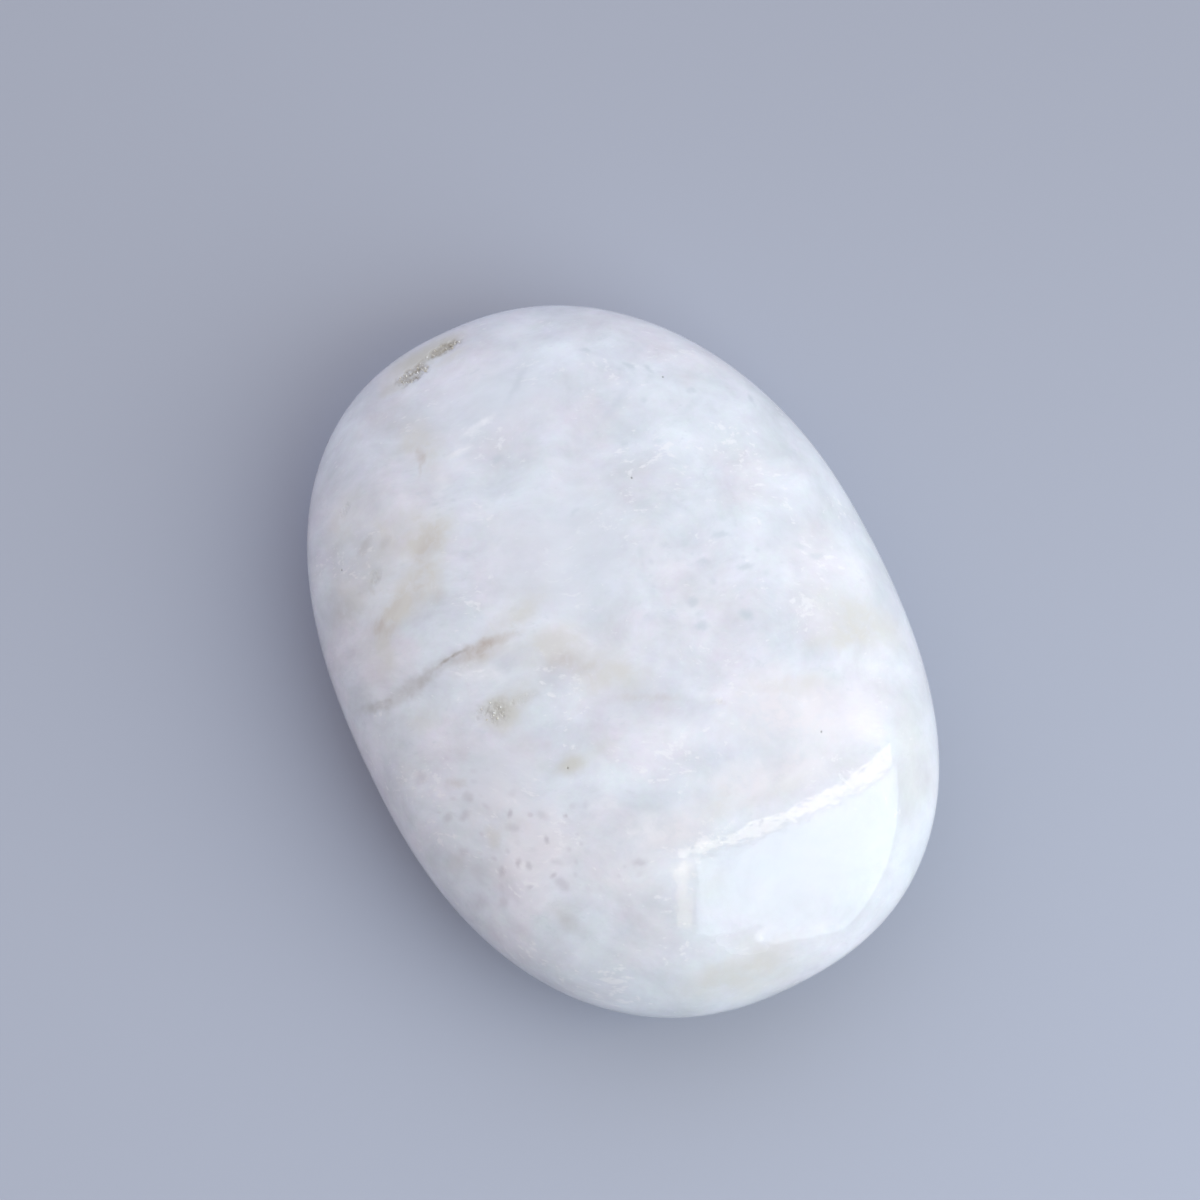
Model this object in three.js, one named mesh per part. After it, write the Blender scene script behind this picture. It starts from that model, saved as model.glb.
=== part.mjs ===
// A polished palm stone of white scolecite, in millimetres: one solid, tumbled and polished from a
// single piece of rock. It lies on its flat underside. Z is up, Y runs along its length and X across.
import * as THREE from 'three';

// Driving dimensions of the stone.
const length = 70;
const width = 51.6;
const girdleHeight = 9.2; // where the stone is widest, above the surface it rests on
const domeHeight = 11.2; // from the girdle up to the crown
const bellyDepth = 9.6; // how deep the underside would reach if it weren't ground flat

// The plan outline is an oval between an ellipse (2) and a box, with a slight hand-made unevenness:
// each lobe is a share of the radius, for so many waves around the stone.
const outlineFullness = 2.28;
const outlineLobes = [
  { waves: 3, cosine: 0.004, sine: -0.0047 },
  { waves: 4, cosine: 0, sine: 0.0065 },
  { waves: 5, cosine: 0, sine: 0.0025 },
];

// The section is part of a superellipse above the girdle and another below it. A radial fullness
// above 2 flattens the crown and tightens the curve near the edge.
const domeFullness = 2.6;
const bellyFullness = 2.4;

// How finely the smooth surface is faceted.
const facetsAround = 100;
const ringsInDome = 24;
const ringsInBelly = 14;

// The share of the full radius that the section has at a height away from the girdle.
function spread(heightShare, fullness) {
  return Math.pow(1 - heightShare * heightShare, 1 / fullness);
}

// Where the section meets the ground flat, as an angle that is 90 degrees at the girdle.
const flatShare = girdleHeight / bellyDepth;

// The section from the middle of the flat underside out to the girdle and up to the crown, with a
// full radius of 1 across and millimetres up.
function sectionPoints() {
  const points = [new THREE.Vector2(0, 0)];
  const flatAngle = Math.asin(flatShare);
  for (let ring = 0; ring < ringsInBelly; ring++) {
    const heightShare = Math.sin(flatAngle * (1 - ring / ringsInBelly));
    points.push(new THREE.Vector2(spread(heightShare, bellyFullness), girdleHeight - bellyDepth * heightShare));
  }
  for (let ring = 0; ring < ringsInDome; ring++) {
    const heightShare = Math.sin((Math.PI / 2) * (ring / ringsInDome));
    points.push(new THREE.Vector2(spread(heightShare, domeFullness), girdleHeight + domeHeight * heightShare));
  }
  points.push(new THREE.Vector2(0, girdleHeight + domeHeight));
  return points;
}

// The distance from the stone's middle to its outline, in the direction of an angle from +X.
function outlineRadius(angle) {
  const across = Math.pow(Math.abs(Math.cos(angle)) / (width / 2), outlineFullness);
  const along = Math.pow(Math.abs(Math.sin(angle)) / (length / 2), outlineFullness);
  let unevenness = 1;
  for (const lobe of outlineLobes) {
    unevenness += lobe.cosine * Math.cos(lobe.waves * angle) + lobe.sine * Math.sin(lobe.waves * angle);
  }
  return Math.pow(across + along, -1 / outlineFullness) * unevenness;
}

// Turns the section once around the upright axis, then moves each point out to the oval outline.
function stoneGeometry() {
  const geometry = new THREE.LatheGeometry(sectionPoints(), facetsAround);
  geometry.rotateX(Math.PI / 2);
  const position = geometry.getAttribute('position');
  for (let i = 0; i < position.count; i++) {
    const x = position.getX(i);
    const y = position.getY(i);
    const radius = outlineRadius(Math.atan2(y, x));
    position.setXY(i, x * radius, y * radius);
  }
  return geometry;
}

// Centres a geometry over the origin and scales its plan to the exact length and width.
function fitPlan(geometry) {
  geometry.computeBoundingBox();
  const size = geometry.boundingBox.getSize(new THREE.Vector3());
  const centre = geometry.boundingBox.getCenter(new THREE.Vector3());
  geometry.translate(-centre.x, -centre.y, 0);
  geometry.scale(width / size.x, length / size.y, 1);
  geometry.computeVertexNormals();
  return geometry;
}

const polishedScolecite = new THREE.MeshStandardMaterial({
  color: 0xdfe3ea,
  roughness: 0.16,
  metalness: 0,
});

const stone = new THREE.Mesh(fitPlan(stoneGeometry()), polishedScolecite);
stone.name = 'polished_stone';

const palmStone = new THREE.Group();
palmStone.add(stone);

export default palmStone;
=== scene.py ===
import math
import random

import bmesh
import bpy
from mathutils import Matrix, Vector, kdtree, noise


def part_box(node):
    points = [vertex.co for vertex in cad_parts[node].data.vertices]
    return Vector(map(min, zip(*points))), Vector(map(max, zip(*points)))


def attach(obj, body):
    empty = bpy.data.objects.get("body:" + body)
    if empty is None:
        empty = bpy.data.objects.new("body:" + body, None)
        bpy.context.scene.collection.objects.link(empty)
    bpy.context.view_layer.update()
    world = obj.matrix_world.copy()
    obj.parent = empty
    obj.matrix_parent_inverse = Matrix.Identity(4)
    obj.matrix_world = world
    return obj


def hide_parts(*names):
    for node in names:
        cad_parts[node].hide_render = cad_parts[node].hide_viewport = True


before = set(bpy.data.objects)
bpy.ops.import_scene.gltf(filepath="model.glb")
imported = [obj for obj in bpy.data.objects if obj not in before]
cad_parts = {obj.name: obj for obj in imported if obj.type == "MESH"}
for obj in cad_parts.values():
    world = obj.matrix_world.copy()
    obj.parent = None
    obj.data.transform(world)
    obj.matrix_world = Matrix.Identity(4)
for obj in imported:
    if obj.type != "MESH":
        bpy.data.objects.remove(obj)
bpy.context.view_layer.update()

# A polished palm stone of white scolecite: one oval stone, with a few small crystal-lined pockets and
# a healed crack that the polish left open over a short length. Shapes are worked out in millimetres,
# in the frame's directions, and scaled to metres when a piece is finished.
mm = 0.001
noise.seed_set(7)  # without a seed, the noise that moves the marks' edges starts anew in each run

stoneLow, stoneHigh = (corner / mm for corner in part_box("polished_stone"))
stoneSize = stoneHigh - stoneLow

stone = {
    "girdle": 9.2,  # height of the widest ring
    "bellyDepth": 9.6,  # how far under the girdle the belly would reach if it weren't ground flat
    "flatBlend": 0.25,  # height over which the ground flat is worn into the belly
    "outlineFullness": 2.28,  # 2 is an ellipse, more is boxier
    "outlineLobes": ((3, 0.004, -0.0047), (4, 0.0, 0.0065), (5, 0.0, 0.0025)),  # waves, cosine, sine
    "domeFullness": 2.6,
    "bellyFullness": 2.4,
    "slabHalfHeight": 0.5,  # of the slab the stone is rounded from, whose half width is 1
    "cellsAcross": 132,
    "cellsUp": 24,
    "markCuts": 1,  # extra cuts in the cells round small marks
    "openCuts": 2,  # and again in those round what the polish left open
    "fineMargin": 0.6,  # how far the first cuts reach past the second
    "waviness": 0.016,  # how uneven the hand polish is
    "waveLength": 9.0,
    "polishedAbove": 0.3,  # the flat under this height has no waves
}

# Open pockets lined with tiny crystals: where the middle is, half sizes along and across, the turn of
# the long side from +X in degrees, depth, size of the crystal ends on the floor, how stained they are,
# and how many crystals stand up.
pocketColumns = ("at", "half", "turn", "depth", "facet", "stain", "crystals")
pocketRows = (
    ((-1.5, 32.1), (2.1, 0.95), 12, 0.12, 0.42, 0.72, 14),
    ((-5.3, 31.0), (2.0, 1.1), 12, 0.12, 0.36, 0.78, 24),
    ((-13.6, -2.1), (1.9, 1.2), -20, 0.05, 0.3, 0.28, 8),
    ((-11.2, -2.3), (1.6, 0.5), -4, 0.02, 0.22, 0.1, 0),
    ((-16.8, 22.0), (0.9, 0.5), 20, 0.03, 0.24, 0.1, 0),
    ((-17.4, 14.5), (0.9, 0.7), 30, 0.03, 0.22, 0.25, 0),
)
pockets = [dict(zip(pocketColumns, row)) for row in pocketRows]

# The healed crack across the left flank, as the points it runs through.
crack = {
    "path": (
        (-23.4, 4.7), (-21.3, 3.7), (-19.2, 3.65), (-16.4, 4.15), (-14.3, 4.3), (-12.3, 4.1),
        (-7.4, 2.9)),
    "open": (-16.2, -13.6),  # between these it is a groove, and elsewhere it is filled
    "halfWidth": 0.24,
    "taper": 1.0,  # half the length over which the groove starts, and ends
    "depth": 0.03,
    "ripple": 0.28,
    "reach": 12,  # far enough from the middle of the path to cover its ends
}

# Pin pricks that the polish opened, and their radius and depth.
pricks = {
    "at": ((14.8, 19.2), (7.2, 11.2), (11.1, -17.2), (-19.6, 17.1), (-10.4, -9.7)),
    "radius": 0.13,
    "depth": 0.1,
}


# What shows through the polish: soft-edged ellipses on the plan. Each is x, y, half length, half
# width, turn in degrees from +X, and how strongly it shows.
inclusions = {
    # areas of even fibre, where the pattern is faint, and one painted plain under the soft box's
    # reflection, where the highlight hides the pattern
    "plain": (
        (-1.5, 8.0, 9.0, 8.0, 0, 0.5),
        (0.0, 24.0, 9.0, 5.0, 0, 0.45),
        # painted: the pattern made plain under the soft box's reflection, as its highlight hides it
        # there
        (5.0, -26.5, 12.0, 6.0, 0, 0.7),
        (-16.6, -7.2, 4.5, 3.2, -30, 0.5),
    ),
    # broad rosy-white areas
    "rosy": (
        (9.5, -14.5, 8.0, 4.5, -28, 0.6),
        (4.0, -18.4, 9.0, 2.2, -6, 0.5),
        (19.5, -4.0, 4.0, 7.0, 10, 0.15),
        (-17.0, -12.5, 8.5, 5.5, -62, 0.35),
        (-8.5, -21.0, 5.0, 4.0, -40, 0.25),
        (-5.0, -18.6, 4.6, 2.4, -28, 0.5),
    ),
    # dense milky tufts
    "milk": (
        (-13.2, 1.4, 2.6, 0.9, -28, 0.6),
        (-5.4, 21.0, 1.6, 0.4, 0, 0.6),
        (-2.4, 22.6, 2.4, 0.4, 8, 0.7),
        (-8.0, 19.3, 1.9, 1.1, 20, 0.4),
        (18.0, -13.6, 1.9, 1.1, -20, 0.35),
        (3.6, -16.8, 1.6, 0.9, 0, 0.4),
        (-2.1, -30.2, 0.8, 0.45, 20, 0.5),
        (-5.4, -22.2, 1.5, 0.7, 10, 0.4),
        (-9.3, -14.0, 1.6, 0.9, -30, 0.3),
        (-7.4, -17.6, 2.8, 1.9, 0, 0.35),
        (7.3, -20.0, 3.2, 1.1, -4, 0.4),
    ),
    # clear grey windows between the fibres
    "window": (
        (11.7, 2.75, 1.3, 0.36, -20, 0.5),
        (12.2, -0.8, 1.1, 0.42, -18, 0.55),
        (9.1, 1.1, 0.8, 0.38, -28, 0.5),
        (6.5, -1.7, 0.75, 0.5, -28, 0.5),
        (10.2, -4.9, 0.9, 0.6, -28, 0.65),
        (6.1, -4.0, 0.95, 0.55, -28, 0.6),
        (6.4, -3.0, 0.5, 0.35, -28, 0.3),
        (17.9, -1.1, 0.8, 0.45, -28, 0.35),
        (18.8, -2.5, 1.0, 0.42, -20, 0.4),
        (6.7, 4.15, 0.6, 0.35, -28, 0.3),
        (2.6, -1.2, 1.0, 0.45, -28, 0.25),
        (9.7, 25.0, 0.7, 0.3, -40, 0.5),
        (12.5, 21.5, 0.8, 0.35, -70, 0.6),
        (14.0, 20.4, 0.8, 0.3, -75, 0.5),
        (16.6, 16.8, 0.6, 0.4, -60, 0.45),
        (21.4, 14.2, 0.7, 0.35, 60, 0.6),
        (11.0, 13.5, 0.6, 0.25, -20, 0.4),
        (8.2, 14.5, 0.6, 0.25, -20, 0.4),
        (1.1, 10.7, 0.7, 0.3, 10, 0.35),
        (9.5, 18.5, 2.9, 0.5, 30, 0.3),
        (16.0, 15.5, 2.2, 0.45, 24, 0.25),
        (2.6, 24.8, 2.7, 0.5, 37, 0.3),
        (-2.6, 18.6, 0.8, 0.5, -10, 0.5),
    ),
    # lilac-grey spots where the fibres meet the surface end on
    "lilac": (
        (-3.9, -7.2, 4.2, 1.7, -28, 0.2),
        (-16.7, -10.7, 0.5, 0.32, 60, 0.6),
        (-15.0, -14.3, 0.45, 0.32, -70, 0.6),
        (-18.0, -14.7, 0.5, 0.32, 60, 0.42),
        (-17.3, -15.4, 0.55, 0.4, 80, 0.45),
        (-19.6, -14.6, 0.7, 0.4, 70, 0.42),
        (-12.6, -13.3, 0.25, 0.2, 0, 0.63),
        (-21.9, -3.6, 0.9, 0.7, 0, 0.35),
        (-19.3, -7.4, 0.6, 0.6, 0, 0.35),
        (-20.2, -8.7, 0.8, 0.5, 0, 0.35),
        (-21.6, -7.9, 0.6, 0.5, 20, 0.35),
        (-17.0, -11.8, 0.8, 0.4, -28, 0.35),
        (-14.3, -12.2, 0.8, 0.5, -50, 0.32),
        (-15.7, -9.2, 0.6, 0.5, 0, 0.17),
        (-15.5, -18.3, 1.1, 0.6, -75, 0.42),
        (-20.7, -16.9, 0.7, 0.6, 0, 0.26),
        (-21.3, -13.7, 1.1, 0.9, -60, 0.2),
        (-22.7, -15.6, 1.2, 0.7, -60, 0.28),
        (-21.8, -11.2, 0.7, 0.5, 0, 0.28),
        (-15.0, -16.4, 0.9, 0.4, -40, 0.28),
        (-20.6, -19.2, 2.2, 1.2, -62, 0.14),
        (-8.6, -19.9, 0.7, 0.45, -28, 0.42),
        (-11.3, -23.5, 2.0, 0.9, -60, 0.17),
    ),
    # dull grey threads: the filled ends of the crack, and crescents in the clouds
    "grey": (
        (-22.4, 4.2, 2.4, 0.6, -28, 0.4),
        (-20.9, 3.7, 1.8, 0.95, -8, 0.45),
        (-18.9, 3.75, 1.9, 1.15, 6, 0.45),
        (-17.0, 4.05, 1.8, 1.0, 14, 0.4),
        (-15.3, 4.25, 1.4, 0.8, 6, 0.4),
        (-13.6, 4.1, 1.9, 0.9, -4, 0.35),
        (-16.8, 17.7, 1.3, 0.6, 37, 0.35),
        (-15.1, 16.9, 0.9, 0.55, 40, 0.3),
        (-16.6, -21.2, 1.7, 0.8, -60, 0.22),
        (-9.5, 29.0, 3.2, 3.6, 20, 0.25),
        (-18.6, 14.1, 1.4, 0.9, 0, 0.3),
        (-21.2, 13.2, 1.8, 1.8, 0, 0.25),
    ),
    # iron-stained cream clouds under the polish, and one beige band that is painted reflection
    "cream": (
        (-11.6, 14.4, 4.6, 2.6, 30, 0.6),
        (-13.4, 16.8, 5.6, 3.0, -25, 0.55),
        (-14.6, 11.2, 4.4, 2.4, 27, 0.65),
        (-18.0, 10.6, 3.6, 2.2, 35, 0.6),
        (-20.4, 7.4, 3.0, 2.4, -60, 0.3),
        (-19.0, 14.6, 4.4, 3.4, 0, 0.4),
        (-17.4, 20.8, 4.0, 2.4, 30, 0.4),
        (-8.0, 23.2, 4.2, 2.5, 100, 0.6),
        (-1.2, 30.7, 2.6, 0.6, 8, 0.6),
        (-8.0, 4.6, 5.0, 1.9, 14, 0.6),
        (-12.0, 3.2, 4.4, 1.5, -10, 0.5),
        (-6.6, 0.6, 4.6, 2.3, -14, 0.6),
        (-3.2, -4.2, 4.8, 2.6, -34, 0.6),
        (-19.6, 0.8, 2.0, 1.6, 0, 0.3),
        (-12.2, -1.8, 3.6, 1.9, 10, 0.4),
        (19.2, -9.4, 6.0, 3.4, -45, 0.6),
        (16.6, -10.4, 3.6, 1.1, -10, 0.35),
        (10.8, -12.4, 5.2, 1.0, -16, 0.35),
        # painted reflection: a beige band along the upper edge of the soft boxes' reflection, not a
        # stain
        (5.4, -20.2, 8.5, 1.0, -3, 0.2),
        (-0.6, -18.6, 2.4, 1.6, 0, 0.3),
        (-5.0, -32.5, 8.0, 2.6, -8, 0.5),
        (-4.0, -24.5, 2.0, 3.0, 0, 0.2),
    ),
    # the tan hearts of the clouds
    "tan": (
        (-11.9, 14.2, 2.4, 1.4, 40, 0.3),
        (-14.6, 11.2, 1.9, 0.8, 45, 0.22),
        (-13.3, 9.7, 1.4, 1.0, 20, 0.25),
        (-17.0, 11.3, 1.6, 0.9, 20, 0.15),
        (-19.1, 10.6, 1.3, 0.8, 30, 0.6),
        (-18.2, 9.3, 1.1, 0.7, -30, 0.35),
        (-8.5, 22.6, 1.2, 0.5, 70, 0.6),
        (-9.2, 21.5, 0.8, 0.25, 60, 0.4),
        (-12.6, 3.8, 2.4, 0.7, -6, 0.6),
        (-10.2, 3.5, 2.2, 0.6, -14, 0.6),
        (-11.4, 3.0, 2.6, 1.0, -14, 0.25),
        (-6.3, -1.2, 1.9, 0.9, -10, 0.35),
        (-5.0, -2.6, 1.6, 0.7, -28, 0.25),
        (-1.2, -7.5, 3.4, 0.5, -28, 0.35),
        (4.2, -10.9, 0.9, 0.3, -28, 0.3),
        (-19.6, -5.6, 0.9, 0.7, -28, 0.3),
        (-17.2, -11.8, 2.4, 1.0, -20, 0.15),
    ),
    # greenish-grey rims
    "sage": (
        (-3.6, 32.6, 5.2, 1.9, 8, 0.8),
        (-0.4, 32.4, 2.4, 1.2, 20, 0.3),
        (-7.6, 30.6, 1.8, 1.0, -10, 0.4),
        (-13.4, -2.4, 2.8, 1.9, -28, 0.55),
        (-10.6, -2.3, 1.9, 0.7, -10, 0.2),
        (-10.2, -9.5, 1.6, 1.25, -28, 0.42),
        (-9.8, -9.5, 2.1, 1.4, -28, 0.25),
        (-7.2, -9.6, 1.8, 1.0, 0, 0.25),
        (-19.2, -11.6, 1.1, 0.9, 60, 0.35),
        (-22.9, -11.9, 1.4, 1.1, 0, 0.15),
        (-16.8, -20.2, 2.0, 1.4, -60, 0.15),
        (-4.5, -31.6, 5.4, 1.5, -6, 0.25),
        (18.0, -22.8, 8.0, 2.6, 61, 0.25),
        (-19.4, 8.2, 2.4, 1.0, 80, 0.25),
    ),
    # where the pattern has more than a few lilac spots, grey windows or white flecks
    "lilacRegion": (
        (-16.3, -12.5, 12.0, 6.8, -62, 1.15),
        (-12.5, -22.5, 7.0, 5.0, -40, 0.5),
    ),
    "windowRegion": (
        (9.0, 0.5, 13.0, 7.5, -20, 0.35),
        (12.0, 20.0, 12.0, 6.0, -35, 0.4),
        (-12.0, 14.0, 14.0, 8.0, 40, 0.35),
    ),
    "fleckRegion": (
        (10.5, 10.5, 7.0, 6.5, 0, 1.0),
        (11.0, 21.5, 5.0, 3.0, -30, 1.0),
        (-3.0, 21.5, 6.0, 3.0, 0, 0.7),
        (7.0, -8.5, 6.0, 3.2, 30, 1.1),
        (14.0, -6.0, 4.0, 3.0, 0, 1.0),
        (1.0, -15.0, 4.0, 2.5, 0, 0.8),
        (-21.0, -1.0, 3.0, 6.0, 0, 0.6),
        (-15.0, -15.5, 11.0, 6.5, -60, 0.9),
        # painted: the flecks taken out under the soft box's reflection, as its highlight hides them
        # there
        (4.0, -27.0, 9.0, 5.5, 0, -4.0),
        (0.0, 24.5, 3.5, 2.5, 30, -2.0),
    ),
    # where the polish pulled fibre ends out
    "plucked": (
        (5.0, -21.9, 12.5, 1.7, -3, 1.0),
        (-6.6, -23.5, 1.2, 4.5, -10, 0.6),
        (-3.5, -29.8, 4.0, 1.8, -10, 1.0),
    ),
    # where the polish never took
    "matte": (
        (-3.2, -29.6, 2.0, 0.65, -8, 2.0),
        (-2.3, -29.8, 0.9, 0.6, 40, 2.0),
        (-4.9, -29.3, 1.4, 0.6, -28, 1.6),
        (-3.6, -30.6, 2.4, 0.65, -20, 1.6),
    ),
}
smallMark = 0.7  # half width below which a mark needs a finer mesh
softEdge = (0.2, 1.15)  # where a mark starts to fade and where it is gone, in shares of its size
attributeNames = ("pocket", "stain", "crack", "prick", *inclusions)


def outlineRadius(angle):
    fullness = stone["outlineFullness"]
    across = (abs(math.cos(angle)) * 2 / stoneSize.x) ** fullness
    along = (abs(math.sin(angle)) * 2 / stoneSize.y) ** fullness
    uneven = 1
    for waves, cosine, sine in stone["outlineLobes"]:
        uneven += cosine * math.cos(waves * angle) + sine * math.sin(waves * angle)
    return (across + along) ** (-1 / fullness) * uneven


# The uneven outline is off centre and a hair too big, so it is moved and scaled to the stone's box.
outline = []
outlineSteps = 3600
for step in range(outlineSteps):
    angle = math.tau * step / outlineSteps
    outline.append((outlineRadius(angle) * math.cos(angle), outlineRadius(angle) * math.sin(angle)))
outlineLow = Vector((min(x for x, y in outline), min(y for x, y in outline)))
outlineHigh = Vector((max(x for x, y in outline), max(y for x, y in outline)))
outlineMiddle = (outlineLow + outlineHigh) / 2
outlineSize = outlineHigh - outlineLow
outlineFit = Vector((stoneSize.x / outlineSize.x, stoneSize.y / outlineSize.y))


def smooth(low, high, value):
    share = min(max((value - low) / (high - low), 0), 1)
    return share * share * (3 - 2 * share)


def domeHeight(share):
    rise = math.sqrt(max(1 - share ** stone["domeFullness"], 0))
    return stone["girdle"] + (stoneSize.z - stone["girdle"]) * rise


def bellyHeight(share):
    drop = math.sqrt(max(1 - share ** stone["bellyFullness"], 0))
    height = stone["girdle"] - stone["bellyDepth"] * drop
    blend = stone["flatBlend"]
    if height >= blend:
        return height
    return max(height + blend, 0) ** 2 / (4 * blend)


# A point on the stone for a direction from its middle.
def stonePoint(direction):
    share = min(math.hypot(direction.x, direction.y), 1)
    angle = math.atan2(direction.y * stoneSize.y, direction.x * stoneSize.x)
    radius = outlineRadius(angle) * share
    height = domeHeight(share) if direction.z >= 0 else bellyHeight(share)
    x = (radius * math.cos(angle) - outlineMiddle.x) * outlineFit.x
    y = (radius * math.sin(angle) - outlineMiddle.y) * outlineFit.y
    return Vector((x, y, height))


# The top surface straight above a place on the plan.
def topPoint(x, y):
    planX = x / outlineFit.x + outlineMiddle.x
    planY = y / outlineFit.y + outlineMiddle.y
    share = math.hypot(planX, planY) / outlineRadius(math.atan2(planY, planX))
    return Vector((x, y, domeHeight(min(share, 1))))


# A frame on the top surface: X along the turn, Z out of the stone.
def topFrame(x, y, turn):
    step = 0.05
    slopeX = (topPoint(x + step, y) - topPoint(x - step, y)).normalized()
    slopeY = (topPoint(x, y + step) - topPoint(x, y - step)).normalized()
    outward = slopeX.cross(slopeY).normalized()
    heading = Vector((math.cos(math.radians(turn)), math.sin(math.radians(turn)), 0))
    along = (heading - outward * heading.dot(outward)).normalized()
    rotation = Matrix((along, outward.cross(along), outward)).transposed()
    return Matrix.Translation(topPoint(x, y)) @ rotation.to_4x4()


# A place moved about by noise, so that round marks get uneven edges.
def unevenPlace(point, reach, swings):
    moved = point.copy()
    for octave in range(4):
        moved += noise.noise_vector(point * swings + Vector((octave * 9.7, 0, 0))) * reach
        reach *= 0.55
        swings *= 2.1
    return moved


# How deep in a pocket a point is, from 0 outside to 1 on its floor, with a ragged edge.
def pocketShare(pocket, point):
    local = pocket["frameInverse"] @ point
    reach = math.hypot(local.x / pocket["half"][0], local.y / pocket["half"][1])
    coarse, fine = noise.noise(point * 1.1), noise.noise(point * 2.7)
    return 1 - smooth(0.35, 1.15, reach + 0.34 * coarse + 0.24 * fine)


# How deep in the crack a point is, from 0 to 1. It tapers out at both ends.
def crackShare(point):
    sway = crack["ripple"] * noise.noise(Vector((point.x * 0.9, 3.1, 0)))
    sway += 0.12 * noise.noise(point * 2.2)
    best = 0
    for (x1, y1), (x2, y2) in zip(crack["path"], crack["path"][1:]):
        if x1 <= point.x <= x2:
            middle = y1 + (y2 - y1) * (point.x - x1) / (x2 - x1)
            thick = crack["halfWidth"] * (1 + 0.5 * noise.noise(Vector((point.x * 0.7, 8.2, 0))))
            best = 1 - smooth(0, thick, abs(point.y - middle + sway))
    opening, closing = crack["open"]
    taper = crack["taper"]
    started = smooth(opening - taper, opening + taper, point.x)
    ended = smooth(closing - taper, closing + taper, point.x)
    return best * (started * (1 - ended))


def prickShare(x, y, point):
    return 1 - smooth(0, pricks["radius"], (point - topPoint(x, y)).length)


# How strongly one soft-edged ellipse shows at a point.
def spotShare(spot, point):
    x, y, halfLong, halfWide, turn, strength = spot
    away = Vector((point.x - x, point.y - y))
    along = Vector((math.cos(math.radians(turn)), math.sin(math.radians(turn))))
    reach = math.hypot(away.dot(along) / halfLong, away.cross(along) / halfWide)
    return strength * (1 - smooth(*softEdge, reach))


# Crystal ends on a pocket's floor: a small plane for each cell, tilted its own way.
def facetHeight(point, size):
    cell = noise.voronoi(point / size)[1][0]
    tilt = noise.cell_vector(cell * 7.3) - Vector((0.5, 0.5, 0.5))
    return max(min((point / size - cell).dot(tilt) * 1.6, 0.5), -0.5)


for pocket in pockets:
    pocket["frame"] = topFrame(*pocket["at"], pocket["turn"])
    pocket["frameInverse"] = pocket["frame"].inverted()


# The slab's even steps are spread so that the round stone gets even steps.
def roundedDirection(point):
    half = stone["slabHalfHeight"]
    turn = math.atan(1 / half)
    rise = math.atan(half)
    level = Vector((math.tan(point.x * turn), math.tan(point.y * turn))) * half
    return Vector((*level, math.tan(point.z / half * rise))).normalized()


# The pockets, the crack and the pricks, which need the finest mesh, each with how far round it.
def openPlaces(margin):
    places = []
    for pocket in pockets:
        for step in range(-4, 5):
            middle = pocket["frame"] @ Vector((pocket["half"][0] * step / 4, 0, 0))
            places.append((topPoint(middle.x, middle.y), pocket["half"][1] * 1.3 + 0.4 + margin))
    for (x1, y1), (x2, y2) in zip(crack["path"], crack["path"][1:]):
        for step in range(5):
            place = topPoint(x1 + (x2 - x1) * step / 5, y1 + (y2 - y1) * step / 5)
            places.append((place, 0.9 + margin))
    return places + [(topPoint(x, y), 0.5 + margin) for x, y in pricks["at"]]


# The small marks, which need a finer mesh, each with how far round it.
def markPlaces():
    places = []
    for spots in inclusions.values():
        for x, y, halfLong, halfWide, turn, strength in spots:
            if halfWide < smallMark:
                places.append((topPoint(x, y), max(halfLong, halfWide) + 0.3))
    return places


def pointTree(points):
    tree = kdtree.KDTree(len(points))
    for index, point in enumerate(points):
        tree.insert(point, index)
    tree.balance()
    return tree


def finishPiece(name, bm, material):
    bmesh.ops.scale(bm, vec=(mm, mm, mm), verts=bm.verts)
    mesh = bpy.data.meshes.new(name)
    bm.to_mesh(mesh)
    bm.free()
    mesh.materials.append(material)
    piece = bpy.data.objects.new(name, mesh)
    bpy.context.scene.collection.objects.link(piece)
    return piece


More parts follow.
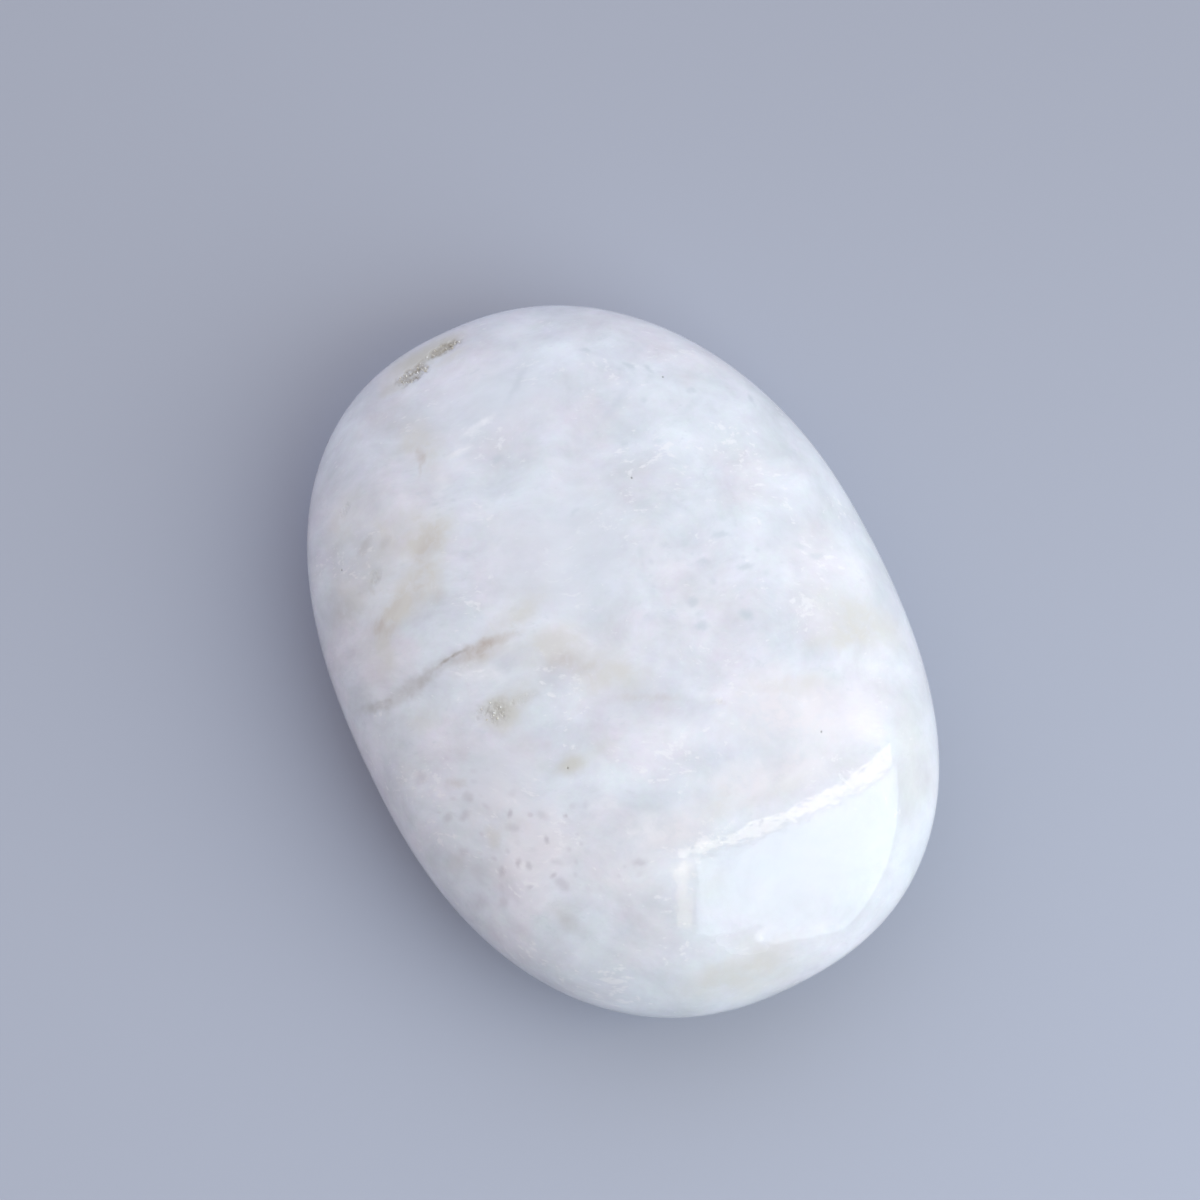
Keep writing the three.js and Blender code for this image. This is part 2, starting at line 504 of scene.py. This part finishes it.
def makeStone(material):
    bm = bmesh.new()
    bmesh.ops.create_cube(bm, size=2)
    bmesh.ops.scale(bm, vec=(1, 1, stone["slabHalfHeight"]), verts=bm.verts)
    upright = [e for e in bm.edges if abs(e.verts[0].co.z - e.verts[1].co.z) > 0.1]
    bmesh.ops.subdivide_edges(bm, edges=upright, cuts=stone["cellsUp"] - 1, use_grid_fill=True)
    level = [e for e in bm.edges if abs(e.verts[0].co.z - e.verts[1].co.z) < 1e-6]
    bmesh.ops.subdivide_edges(bm, edges=level, cuts=stone["cellsAcross"] - 1, use_grid_fill=True)

    rounds = (
        (markPlaces() + openPlaces(stone["fineMargin"]), stone["markCuts"]),
        (openPlaces(0), stone["openCuts"]),
    )
    for places, cuts in rounds:
        bm.faces.ensure_lookup_table()
        faceTree = pointTree([stonePoint(roundedDirection(f.calc_center_median())) for f in bm.faces])
        fine = set()
        for place, reach in places:
            fine.update(index for near, index, away in faceTree.find_range(place, reach))
        bm.edges.index_update()
        fineEdges = {e for index in fine for e in bm.faces[index].edges}
        fineEdges = sorted(fineEdges, key=lambda e: e.index)
        bmesh.ops.subdivide_edges(bm, edges=fineEdges, cuts=cuts, use_grid_fill=True)
        print(len(fine), "cells of the slab cut finer, which makes", len(bm.faces), "faces")

    layers = {name: bm.verts.layers.float.new(name) for name in attributeNames}
    mapLayer = bm.loops.layers.uv.new("OFBake")
    bm.verts.ensure_lookup_table()
    directions = [roundedDirection(vert.co) for vert in bm.verts]
    points = [stonePoint(direction) for direction in directions]
    for vert, point in zip(bm.verts, points):
        vert.co = point
    bm.normal_update()

    # marks and stains
    vertTree = pointTree(points)
    for name, spots in inclusions.items():
        for spot in spots:
            reach, swings = (0.2, 1.0) if spot[3] < smallMark else (0.6, 0.35)
            farthest = max(spot[2:4]) * 1.3 + 1
            for near, index, away in vertTree.find_range(topPoint(*spot[:2]), farthest):
                place = unevenPlace(points[index], reach, swings)
                bm.verts[index][layers[name]] += spotShare(spot, place)

    # relief: slow waves, then whatever the polish left open
    for vert, point in zip(bm.verts, points):
        if point.z > stone["polishedAbove"]:
            vert.co -= vert.normal * stone["waviness"] * (1 + noise.noise(point / stone["waveLength"]))
    for pocket in pockets:
        tallest = min(pocket["facet"], pocket["depth"] * 2) * 0.7
        farthest = pocket["half"][0] * 1.6
        for near, index, away in vertTree.find_range(pocket["frame"].translation, farthest):
            share = pocketShare(pocket, points[index])
            rough = facetHeight(points[index], pocket["facet"]) * tallest
            vert = bm.verts[index]
            vert.co -= vert.normal * share * (pocket["depth"] + rough)
            vert[layers["pocket"]] = max(vert[layers["pocket"]], share)
            vert[layers["stain"]] = max(vert[layers["stain"]], share * pocket["stain"])
    crackMiddle = topPoint(*crack["path"][len(crack["path"]) // 2])
    for near, index, away in vertTree.find_range(crackMiddle, crack["reach"]):
        vert = bm.verts[index]
        vert[layers["crack"]] = crackShare(points[index])
        vert.co -= vert.normal * vert[layers["crack"]] * crack["depth"]
    for x, y in pricks["at"]:
        for near, index, away in vertTree.find_range(topPoint(x, y), pricks["radius"]):
            vert = bm.verts[index]
            vert[layers["prick"]] = prickShare(x, y, points[index])
            vert.co -= vert.normal * vert[layers["prick"]] * pricks["depth"]
    for face in bm.faces:
        face.smooth = min(v[layers["pocket"]] for v in face.verts) < 0.5

    unwrapHalves(bm, mapLayer, directions)
    piece = finishPiece("scoleciteStone", bm, material)
    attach(piece, "root")
    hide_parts("polished_stone")
    print("stone made with", len(piece.data.polygons), "faces")
    return piece


# The top and the underside lie side by side on the map, each opened out from its middle: the middle
# and half size of the top's share of it.
mapShare = {"middle": (0.25, 0.5), "half": (0.24, 0.48)}


def unwrapHalves(bm, layer, directions):
    for face in bm.faces:
        isTop = face.calc_center_median().z > stone["girdle"]
        for loop in face.loops:
            direction = directions[loop.vert.index]
            share = min(math.hypot(direction.x, direction.y), 1)
            spread = (share + math.asin(share) * 2 / math.pi) / 2
            angle = math.atan2(direction.y, direction.x if isTop else -direction.x)
            u = mapShare["middle"][0] + mapShare["half"][0] * spread * math.cos(angle)
            v = mapShare["middle"][1] + mapShare["half"][1] * spread * math.sin(angle)
            loop[layer].uv = (u if isTop else u + 0.5, v)


# Slender prisms with pointed ends, standing in the pockets. The ranges are drawn from evenly.
prisms = {
    "seed": 5,
    "leastShare": 0.4,  # how deep in the pocket one has to stand
    "tall": (0.7, 1.2),  # of the pocket's depth there
    "taller": 0.1,  # and this much more
    "halfThick": (0.06, 0.12),
    "lean": (0, 1.1),
    "sides": (4, 4, 6),
    "taper": 0.85,
    "point": 0.9,  # height of the pointed end, of its half thickness
    "sunk": 0.02,
}


def makeCrystals(material):
    draw = random.Random(prisms["seed"])
    bm = bmesh.new()
    for pocket in pockets:
        placed = 0
        while placed < pocket["crystals"]:
            angle = draw.uniform(0, math.tau)
            reach = math.sqrt(draw.random())
            x = pocket["half"][0] * reach * math.cos(angle)
            y = pocket["half"][1] * reach * math.sin(angle)
            foot = pocket["frame"] @ Vector((x, y, 0))
            foot = topPoint(foot.x, foot.y)
            share = pocketShare(pocket, foot)
            if share < prisms["leastShare"]:
                continue
            placed += 1
            depth = share * pocket["depth"]
            tall = draw.uniform(*prisms["tall"]) * depth + prisms["taller"]
            thick = draw.uniform(*prisms["halfThick"])
            lean = Matrix.Rotation(draw.uniform(*prisms["lean"]), 4, "X")
            turn = Matrix.Rotation(draw.uniform(0, math.tau), 4, "Z")
            low = pocket["frameInverse"] @ foot - Vector((0, 0, depth + prisms["sunk"]))
            stand = pocket["frame"] @ Matrix.Translation(low) @ turn @ lean
            sides = draw.choice(prisms["sides"])
            cone = bmesh.ops.create_cone(
                bm, cap_ends=True, cap_tris=False, segments=sides, radius1=thick,
                radius2=thick * prisms["taper"], depth=tall, matrix=stand)
            axis = stand.to_3x3() @ Vector((0, 0, 1))
            ends = {f for v in cone["verts"] for f in v.link_faces}
            top = max(ends, key=lambda f: f.calc_center_median().dot(axis))
            bmesh.ops.poke(bm, faces=[top], offset=thick * prisms["point"])
    bmesh.ops.recalc_face_normals(bm, faces=bm.faces)
    piece = finishPiece("pocketCrystals", bm, material)
    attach(piece, "root")
    print("crystals made:", sum(pocket["crystals"] for pocket in pockets))
    return piece


def linearColour(text):
    channels = [int(text[i:i + 2], 16) / 255 for i in (1, 3, 5)]
    return tuple(c / 12.92 if c <= 0.04045 else ((c + 0.055) / 1.055) ** 2.4 for c in channels) + (1.0,)


# Adds a node, sets it up, links or sets its inputs, and gives back one of its outputs.
def addNode(tree, kind, settings={}, inputs={}, output=0):
    node = tree.nodes.new("ShaderNode" + kind)
    for name, value in settings.items():
        setattr(node, name, value)
    for name, value in inputs.items():
        if isinstance(value, bpy.types.NodeSocket):
            tree.links.new(value, node.inputs[name])
        else:
            node.inputs[name].default_value = value
    return node.outputs[output] if len(node.outputs) else None


def startMaterial(name):
    material = bpy.data.materials.new(name)
    material.use_nodes = True
    tree = material.node_tree
    tree.nodes.clear()
    return material, tree


# A place moved about by noise: reach in millimetres, and how many swings in a millimetre.
def wander(tree, point, reach, swings, detail):
    swing = addNode(tree, "TexNoise", {}, {
        "Vector": point, "Scale": swings, "Detail": detail, "Roughness": 0.55}, 1)
    centred = addNode(tree, "VectorMath", {"operation": "SUBTRACT"}, {0: swing, 1: (0.5, 0.5, 0.5)})
    # the noise keeps to the middle quarter of its range
    return addNode(tree, "VectorMath", {"operation": "MULTIPLY_ADD"}, {
        0: centred, 1: (reach * 4,) * 3, 2: point})


palette = {
    "blueWhite": "#DDE1E9",
    "pinkWhite": "#E1E0E8",
    "milkWhite": "#F3F3F8",
    "fleckWhite": "#F3F3F7",
    "rosyWhite": "#EEE8EC",
    "fleckGrey": "#CFD5DD",
    "windowGrey": "#C4CCD4",
    "speckleLilac": "#CBC9D3",
    "speckleBrown": "#B9B3BC",
    "threadGrey": "#B6B3B3",
    "cream": "#D8D6D2",
    "tan": "#C0B5AF",
    "sage": "#CCC9BE",
    "crackBrown": "#ADA6A3",
    "pocketOlive": "#9E9688",
    "prickDark": "#6B6660",
    "prismClear": "#F1F2F2",
    "prismStained": "#CFCABC",
    "studioPaper": "#ACB1C0",
}


# How the fibres lie, in millimetres: the point they fan out from, well off the stone's edge, how far
# from it they have their true width, and the width and length of the patterns along them.
fibres = {
    "root": (-75.0, 36.0),
    "trueAt": 75.0,
    "density": (4.0, 6.4),
    "flecks": (0.5, 1.05),
    "spots": (1.05, 1.3),
}


# Scolecite, a white zeolite grown in fans of hair-fine fibres, ground and polished: milky and softly
# translucent, with flecks along the fibres, clear grey windows and cream iron stain.
def makePolishedScolecite():
    material, tree = startMaterial("polishedScolecite")
    place = addNode(tree, "TexCoord", output="Object")
    point = addNode(tree, "Mapping", {}, {"Vector": place, "Scale": (1 / mm, 1 / mm, 1 / mm)})
    loose = wander(tree, point, 0.8, 0.35, 3.0)  # for the clouds
    bent = wander(tree, point, 1.0, 0.12, 1.0)  # for the fibres
    marks = {}
    for name in attributeNames:
        marks[name] = addNode(tree, "Attribute", {"attribute_name": name}, {}, "Fac")

    # fibre coordinates: across the fibres, along them and up
    fromRoot = addNode(tree, "VectorMath", {"operation": "SUBTRACT"}, {0: bent, 1: (*fibres["root"], 0)})
    parts = addNode(tree, "SeparateXYZ", {}, {0: fromRoot}).node.outputs
    turn = addNode(tree, "Math", {"operation": "ARCTAN2"}, {0: parts[1], 1: parts[0]})
    across = addNode(tree, "Math", {"operation": "MULTIPLY"}, {0: turn, 1: fibres["trueAt"]})
    level = addNode(tree, "VectorMath", {"operation": "MULTIPLY"}, {0: fromRoot, 1: (1, 1, 0)})
    along = addNode(tree, "VectorMath", {"operation": "LENGTH"}, {0: level}, "Value")
    fibre = addNode(tree, "CombineXYZ", {}, {0: across, 1: along, 2: parts[2]})
    grain = {}
    for name in ("density", "flecks", "spots"):
        wide, tall = fibres[name]
        grain[name] = addNode(tree, "Mapping", {}, {
            "Vector": fibre, "Scale": (1 / wide, 1 / tall, 1 / wide)})

    # blue-white and pink-white in uneven patches of 8 mm and less, and slight drifts of hue in each
    tint = addNode(tree, "TexNoise", {}, {
        "Vector": loose, "Scale": 0.11, "Detail": 3.0, "Roughness": 0.58})
    pink = addNode(tree, "MapRange", {"interpolation_type": "SMOOTHSTEP"}, {0: tint, 1: 0.38, 2: 0.66})
    colour = addNode(tree, "Mix", {"data_type": "RGBA"}, {
        0: pink, 6: linearColour(palette["blueWhite"]), 7: linearColour(palette["pinkWhite"])}, 2)
    hue = addNode(tree, "TexNoise", {}, {
        "Vector": point, "Scale": 0.4, "Detail": 4.0, "Roughness": 0.8}, 1)
    drift = addNode(tree, "VectorMath", {"operation": "MULTIPLY_ADD"}, {
        0: hue, 1: (0.06, 0.13, 0.06), 2: (0.97, 0.935, 0.97)})
    colour = addNode(tree, "VectorMath", {"operation": "MULTIPLY"}, {0: colour, 1: drift})

    # denser and clearer fibre, from patches of 4 mm down to single fibres
    density = addNode(tree, "TexNoise", {}, {
        "Vector": grain["density"], "Scale": 1.0, "Detail": 6.0, "Roughness": 0.61})
    gain = addNode(tree, "MapRange", {}, {0: density, 1: 0.3, 2: 0.7, 3: 0.875, 4: 1.125})
    colour = addNode(tree, "VectorMath", {"operation": "SCALE"}, {0: colour, "Scale": gain})

    # white and grey flecks with crisp edges, in separate groups
    flecks = addNode(tree, "TexNoise", {}, {
        "Vector": grain["flecks"], "Scale": 1.0, "Detail": 3.0, "Roughness": 0.6})
    groups = addNode(tree, "TexNoise", {}, {"Vector": loose, "Scale": 0.2, "Detail": 2.0})
    grouped = addNode(tree, "Math", {"operation": "MULTIPLY_ADD"}, {0: groups, 1: 0.6, 2: flecks})
    brighter = addNode(tree, "Math", {"operation": "MULTIPLY_ADD"}, {
        0: marks["fleckRegion"], 1: 0.07, 2: grouped})
    duller = addNode(tree, "Math", {"operation": "MULTIPLY_ADD"}, {
        0: marks["fleckRegion"], 1: -0.03, 2: grouped})
    whites = addNode(tree, "MapRange", {"interpolation_type": "SMOOTHSTEP"}, {
        0: brighter, 1: 0.93, 2: 1.08, 4: 0.55})
    greys = addNode(tree, "MapRange", {"interpolation_type": "SMOOTHSTEP"}, {
        0: duller, 1: 0.68, 2: 0.5, 4: 0.35})

    # soft oval spots, one to a cell: some cells have none
    nearest = addNode(tree, "TexVoronoi", {"feature": "F1"}, {
        "Vector": grain["spots"], "Scale": 1.0, "Randomness": 0.95})
    pick = addNode(tree, "SeparateXYZ", {}, {0: nearest.node.outputs["Color"]}).node.outputs
    spotSize = addNode(tree, "MapRange", {}, {0: pick[0], 3: 0.2, 4: 0.5})
    reach = addNode(tree, "Math", {"operation": "DIVIDE"}, {0: nearest, 1: spotSize})
    shown = addNode(tree, "MapRange", {}, {0: pick[1], 1: 0.2, 2: 0.9})
    spots = addNode(tree, "MapRange", {"interpolation_type": "SMOOTHSTEP"}, {
        0: reach, 1: 1.0, 2: 0.1, 4: shown})

    # clouds come in blotches, and stains in patches
    mottle = addNode(tree, "TexNoise", {}, {
        "Vector": loose, "Scale": 0.32, "Detail": 4.0, "Roughness": 0.66})
    blotches = addNode(tree, "MapRange", {"interpolation_type": "SMOOTHSTEP"}, {
        0: mottle, 1: 0.38, 2: 0.62, 3: 0.6, 4: 1.25})
    patches = addNode(tree, "TexNoise", {}, {"Vector": point, "Scale": 1.6, "Detail": 4.0})
    uncovered = addNode(tree, "MapRange", {}, {0: patches, 1: 0.35, 2: 0.6, 3: 0.35})

    # each finish over the ones before it: its colour, and the two shares that make its mask
    finishes = (
        ("fleckGrey", greys, 1.0),
        ("fleckWhite", whites, 1.0),
        ("speckleLilac", spots, marks["lilacRegion"]),
        ("windowGrey", spots, marks["windowRegion"]),
        ("blueWhite", 1.0, marks["plain"]),
        ("rosyWhite", blotches, marks["rosy"]),
        ("milkWhite", blotches, marks["milk"]),
        ("cream", blotches, marks["cream"]),
        ("sage", 1.0, marks["sage"]),
        ("threadGrey", blotches, marks["grey"]),
        ("tan", blotches, marks["tan"]),
        ("windowGrey", 1.0, marks["window"]),
        ("speckleBrown", 1.0, marks["lilac"]),
        ("crackBrown", uncovered, marks["crack"]),
        ("pocketOlive", uncovered, marks["stain"]),
        ("prickDark", 1.0, marks["prick"]),
    )
    for name, first, second in finishes:
        share = addNode(tree, "Math", {"operation": "MULTIPLY", "use_clamp": True}, {
            0: first, 1: second})
        colour = addNode(tree, "Mix", {"data_type": "RGBA"}, {
            0: share, 6: colour, 7: linearColour(palette[name])}, 2)

    # a mirror polish, duller on the open places
    ragged = addNode(tree, "Math", {"operation": "MULTIPLY"}, {0: marks["matte"], 1: blotches})
    dull = addNode(tree, "Math", {"operation": "MAXIMUM"}, {0: marks["pocket"], 1: ragged})
    roughness = addNode(tree, "MapRange", {}, {0: dull, 3: 0.055, 4: 0.6})

    # undercut between hard and soft fibres: ripples of about a hundredth of a millimetre
    ripples = addNode(tree, "TexNoise", {}, {
        "Vector": point, "Scale": 0.7, "Detail": 2.0, "Roughness": 0.55})
    centred = addNode(tree, "Math", {"operation": "SUBTRACT"}, {0: ripples, 1: 0.5})
    pulled = addNode(tree, "MapRange", {}, {0: marks["plucked"], 3: 1.0, 4: 2.4})
    deeper = addNode(tree, "Math", {"operation": "MULTIPLY"}, {0: centred, 1: pulled})
    relief = addNode(tree, "Bump", {}, {"Strength": 1.0, "Distance": 0.012 * mm, "Height": deeper})

    surface = addNode(tree, "BsdfPrincipled", {}, {
        "Base Color": colour, "Roughness": roughness, "IOR": 1.51, "Normal": relief,
        "Subsurface Weight": 0.4, "Subsurface Radius": (1.0, 0.95, 0.9), "Subsurface Scale": 0.7 * mm})
    addNode(tree, "OutputMaterial", {}, {"Surface": surface})
    return material


# Tiny scolecite prisms in the pockets: clean glassy white, with natural mirror-flat faces.
def makeDrusyScolecite():
    material, tree = startMaterial("drusyScolecite")
    place = addNode(tree, "TexCoord", output="Object")
    point = addNode(tree, "Mapping", {}, {"Vector": place, "Scale": (1 / mm, 1 / mm, 1 / mm)})
    stain = addNode(tree, "TexNoise", {}, {"Vector": point, "Scale": 1.4, "Detail": 2.0})
    share = addNode(tree, "MapRange", {}, {0: stain, 1: 0.4, 2: 0.62})
    colour = addNode(tree, "Mix", {"data_type": "RGBA"}, {
        0: share, 6: linearColour(palette["prismClear"]), 7: linearColour(palette["prismStained"])}, 2)
    surface = addNode(tree, "BsdfPrincipled", {}, {
        "Base Color": colour, "Roughness": 0.08, "IOR": 1.51,
        "Subsurface Weight": 0.4, "Subsurface Radius": (1.0, 1.0, 1.0), "Subsurface Scale": 0.1 * mm})
    addNode(tree, "OutputMaterial", {}, {"Surface": surface})
    return material


floor = {"halfSize": 2000, "drop": 0.02}  # it lies a hair under the stone


# Seamless studio paper, cool pale grey.
def makeFloor():
    material, tree = startMaterial("studioPaper")
    surface = addNode(tree, "BsdfPrincipled", {}, {
        "Base Color": linearColour(palette["studioPaper"]), "Roughness": 0.9})
    addNode(tree, "OutputMaterial", {}, {"Surface": surface})
    bm = bmesh.new()
    bmesh.ops.create_grid(bm, x_segments=1, y_segments=1, size=floor["halfSize"])
    bmesh.ops.translate(bm, vec=(0, 0, -floor["drop"]), verts=bm.verts)
    finishPiece("floor", bm, material)


camera = {
    "turn": -28.06,  # degrees round the stone
    "elevation": 75.0,
    "distance": 293.6,
    "aim": (1.80, 7.13, 0.0),
    "lens": 91.65,
    "sensor": 36.0,
}


def makeCamera():
    turn, rise = math.radians(camera["turn"]), math.radians(camera["elevation"])
    back = Vector((math.sin(turn) * math.cos(rise), -math.cos(turn) * math.cos(rise), math.sin(rise)))
    data = bpy.data.cameras.new("camera")
    data.sensor_width = camera["sensor"]
    data.lens = camera["lens"]
    data.clip_start = 0.01
    data.clip_end = 10.0
    holder = bpy.data.objects.new("camera", data)
    holder.location = (Vector(camera["aim"]) + back * camera["distance"]) * mm
    holder.rotation_euler = back.to_track_quat("Z", "Y").to_euler()
    bpy.context.scene.collection.objects.link(holder)
    bpy.context.scene.camera = holder


# The main soft box and two warm strips beside it, all in one plane: the middle along and up the plane
# from the main box's middle, and the size, in mm, and the turn in the plane.
boxMiddle = Vector((55.6, -276.5, 298.7))
boxLong = Vector((-0.377, -0.208, 0.902)).normalized()
boxShort = Vector((0.387, 0.850, 0.358)).normalized()
boxColumns = ("name", "offset", "size", "tilt", "radiance", "colour")
boxRows = (
    ("mainBox", (0, -4), (552, 274), 0, 2.6, "#E2F3FF"),
    ("edgeStrip", (66, 152), (664, 22), -0.9, 3.8, "#FFF3D6"),
    ("sideStrip", (380, -8), (118, 270), 0, 2.3, "#FFE9B8"),
)
softBoxes = [dict(zip(boxColumns, row)) for row in boxRows]


def makeSoftBox(box):
    along, up = box["offset"]
    backward = boxLong.cross(boxShort).normalized()
    if backward.dot(boxMiddle) < 0:
        backward = -backward
    longSide = Matrix.Rotation(math.radians(box["tilt"]), 3, backward) @ boxLong
    rotation = Matrix((longSide, backward.cross(longSide), backward)).transposed()
    light = bpy.data.lights.new(box["name"], "AREA")
    light.shape = "RECTANGLE"
    light.size, light.size_y = (side * mm for side in box["size"])
    light.energy = box["radiance"] * math.pi * light.size * light.size_y
    light.color = linearColour(box["colour"])[:3]
    holder = bpy.data.objects.new(box["name"], light)
    middle = boxMiddle + boxLong * along + boxShort * up
    holder.matrix_world = Matrix.Translation(middle * mm) @ rotation.to_4x4()
    bpy.context.scene.collection.objects.link(holder)


# The bounce from a pale room: broad glows that fade into each other. Bearing and height in degrees.
glows = (
    {"bearing": -28, "height": 30, "strength": 0.92, "colour": "#FFF5E2"},
    {"bearing": 62, "height": 30, "strength": 1.08, "colour": "#DBE8FF"},
    {"bearing": 152, "height": 30, "strength": 0.71, "colour": "#FFF3F2"},
)


def makeSurroundings():
    world = bpy.data.worlds.new("studio")
    bpy.context.scene.world = world
    world.use_nodes = True
    tree = world.node_tree
    tree.nodes.clear()
    direction = addNode(tree, "TexCoord", output="Generated")
    total = (0.0, 0.0, 0.0)
    for glow in glows:
        bearing, height = math.radians(glow["bearing"]), math.radians(glow["height"])
        level = math.cos(height)
        middle = (math.cos(bearing) * level, math.sin(bearing) * level, math.sin(height))
        facing = addNode(tree, "VectorMath", {"operation": "DOT_PRODUCT"}, {
            0: direction, 1: middle}, "Value")
        front = addNode(tree, "Math", {"operation": "MAXIMUM"}, {0: facing, 1: 0.0})
        share = addNode(tree, "Math", {"operation": "POWER"}, {0: front, 1: 2.0})
        colour = [channel * glow["strength"] for channel in linearColour(glow["colour"])[:3]]
        total = addNode(tree, "VectorMath", {"operation": "MULTIPLY_ADD"}, {
            0: colour, 1: share, 2: total})
    background = addNode(tree, "Background", {}, {"Color": total, "Strength": 1.0})
    addNode(tree, "OutputWorld", {}, {"Surface": background})
    bpy.context.scene.view_settings.view_transform = "Standard"


makeCamera()
makeSurroundings()
for box in softBoxes:
    makeSoftBox(box)
makeFloor()
print("studio set up with", len(softBoxes), "soft boxes")
makeStone(makePolishedScolecite())
makeCrystals(makeDrusyScolecite())
